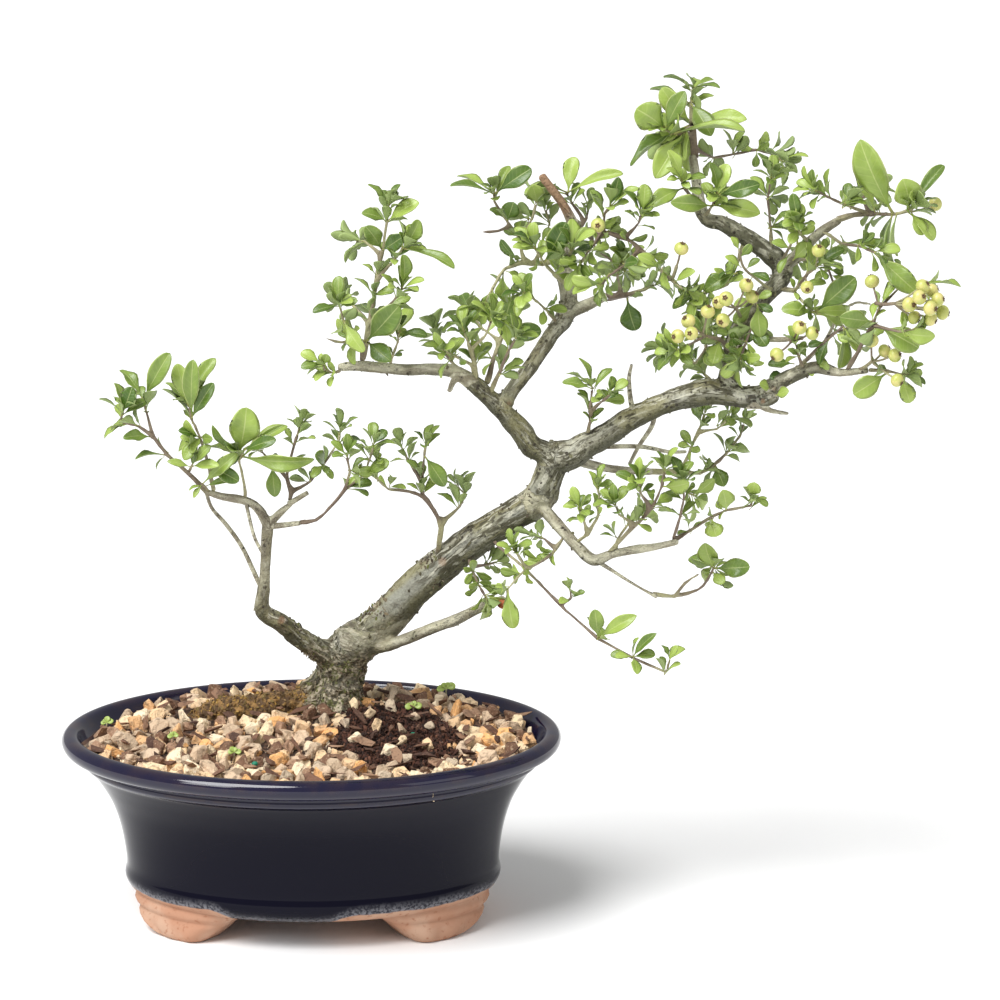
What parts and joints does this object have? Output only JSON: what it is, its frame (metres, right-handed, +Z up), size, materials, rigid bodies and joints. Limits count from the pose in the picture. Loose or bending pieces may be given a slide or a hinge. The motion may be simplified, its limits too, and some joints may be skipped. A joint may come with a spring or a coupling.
{
  "type": "potted bonsai",
  "caption": "Firethorn bonsai with leafy shoots and unripe berries, leaning out of a glazed oval pot on feet, with soil, a gravel top layer and covered drainage holes.",
  "frame": {"origin": "bottom middle of the whole object's box, in the plane of the pot's feet", "axes": "+X to the picture's right, along the pot's length and the way the tree leans; -Y towards the viewer; +Z up"},
  "size_m": [0.4194, 0.186, 0.401],
  "materials": {
    "glaze": "glossy dark glaze over bare clay feet",
    "screen": "moulded mesh",
    "soil": "crumbly and damp",
    "gravel": "loose matte grains",
    "bark": "rough bark with algae",
    "foliage": "semi-gloss leaves on thin twigs",
    "berry": "smooth unripe fruit"
  },
  "bodies": {
    "root": {"pot": "glaze", "drain_screen_left": "screen", "drain_screen_right": "screen", "soil": "soil", "gravel": "gravel", "trunk_and_branches": "bark", "shoot_left_tip": "foliage", "shoot_left_b": "foliage", "shoot_left_c": "foliage", "shoot_left_inner": "foliage", "shoot_left_low": "foliage", "shoot_middle": "foliage", "shoot_arm_tip": "foliage", "shoot_topleft": "foliage", "shoot_arm_sprig": "foliage", "shoot_elbow_front": "foliage", "shoot_elbow_low": "foliage", "shoot_elbow_back": "foliage", "shoot_elbow_mid": "foliage", "shoot_rise_left": "foliage", "shoot_rise_mid": "foliage", "shoot_rise_low": "foliage", "shoot_rise_top": "foliage", "shoot_front": "foliage", "shoot_side": "foliage", "shoot_right_top": "foliage", "shoot_right_low_left": "foliage", "shoot_right_low_right": "foliage", "shoot_riser_shoot": "foliage", "shoot_right_arm": "foliage", "shoot_right_arm_near": "foliage", "shoot_far_a": "foliage", "shoot_far_b": "foliage", "shoot_limb_tip": "foliage", "shoot_fork": "foliage", "shoot_riser_left": "foliage", "shoot_riser_left_back": "foliage", "shoot_riser_dark": "foliage", "shoot_riser_mid": "foliage", "shoot_riser_right": "foliage", "shoot_riser_right_back": "foliage", "shoot_pruned_tip": "foliage", "shoot_limb_end_up": "foliage", "shoot_behind": "foliage", "shoot_lower_twig": "foliage", "shoot_lower_rise_a": "foliage", "shoot_lower_mid": "foliage", "shoot_lower_far": "foliage", "shoot_low_cluster": "foliage", "shoot_limb_sprig": "foliage", "shoot_under": "foliage", "shoot_under_b": "foliage", "shoot_long_twig": "foliage", "berries_right": "berry", "berries_lower_right": "berry", "berries_middle": "berry", "berries_left_a": "berry", "berries_left_b": "berry", "berries_single_front": "berry", "berries_single_centre": "berry"}
  },
  "joints": []
}
